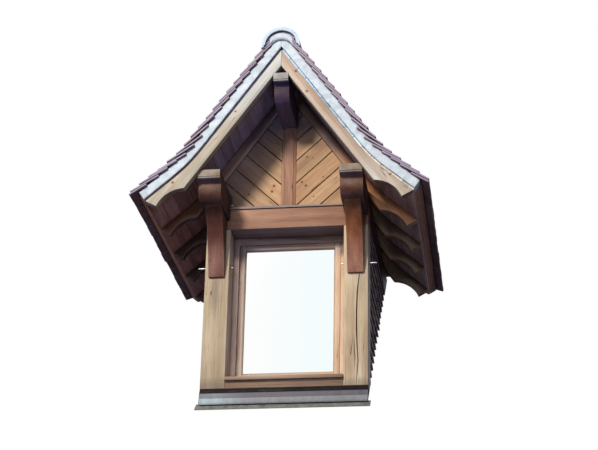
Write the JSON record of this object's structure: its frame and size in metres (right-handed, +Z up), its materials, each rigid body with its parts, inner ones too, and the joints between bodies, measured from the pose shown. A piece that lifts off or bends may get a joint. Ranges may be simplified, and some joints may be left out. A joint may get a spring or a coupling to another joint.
{
  "type": "gabled roof dormer window with oak frame and tiled overhanging roof",
  "caption": "Gabled dormer window in oak framing: curved braces under moulded plates carry a steep bell-cast tiled roof that overhangs a glazed sash; tile-hung cheeks meet a sloping roof.",
  "frame": {"origin": "on the main roof's surface, midway between the posts, under the middle of the sill beam", "axes": "+Z up, +Y level back into the main roof along the dormer's ridge, +X to the right seen from outside"},
  "size_m": [2.1678, 3.4843, 2.8196],
  "materials": {
    "frame_oak": "planed, weathered",
    "red_oak": "stained, matt",
    "pale_oak": "planed, pale",
    "gable_boarding": "oiled",
    "roof_carpentry": "sawn",
    "window_joinery": "varnished",
    "window_glass": "clear",
    "roof_tile": "weathered clay",
    "cheek_tile": "weathered clay",
    "ridge_tile": "lichened clay",
    "lime_mortar": "trowelled",
    "zinc": "dull sheet metal",
    "lead": "dull lead sheet",
    "pin_steel": "galvanised"
  },
  "bodies": {
    "root": {"battens": "roof_carpentry", "counter_battens": "roof_carpentry", "king_post": "frame_oak", "left_brace": "red_oak", "left_cheek_boards": "roof_carpentry", "left_cheek_sole": "roof_carpentry", "left_cheek_studs": "roof_carpentry", "left_cheek_tiles": "cheek_tile", "left_fascia": "roof_carpentry", "left_gable_boards": "gable_boarding", "left_gable_rafter": "frame_oak", "left_post": "frame_oak", "left_rafters": "red_oak", "left_roof_boards": "roof_carpentry", "left_roof_tiles": "roof_tile", "left_verge_mortar": "lime_mortar", "left_verge_rafter": "pale_oak", "left_wall_plate": "frame_oak", "lintel": "frame_oak", "post_pins": "pin_steel", "ridge_beam": "frame_oak", "ridge_bedding": "lime_mortar", "ridge_tiles": "ridge_tile", "right_brace": "red_oak", "right_cheek_boards": "roof_carpentry", "right_cheek_sole": "roof_carpentry", "right_cheek_studs": "roof_carpentry", "right_cheek_tiles": "cheek_tile", "right_fascia": "roof_carpentry", "right_gable_boards": "gable_boarding", "right_gable_rafter": "frame_oak", "right_post": "frame_oak", "right_rafters": "red_oak", "right_roof_boards": "roof_carpentry", "right_roof_tiles": "roof_tile", "right_verge_mortar": "lime_mortar", "right_verge_rafter": "pale_oak", "right_wall_plate": "frame_oak", "sill_apron": "lead", "sill_beam": "frame_oak", "sill_flashing": "zinc", "window_frame": "window_joinery", "window_glass": "window_glass", "window_sash": "window_joinery", "window_sill": "window_joinery"}
  },
  "joints": []
}
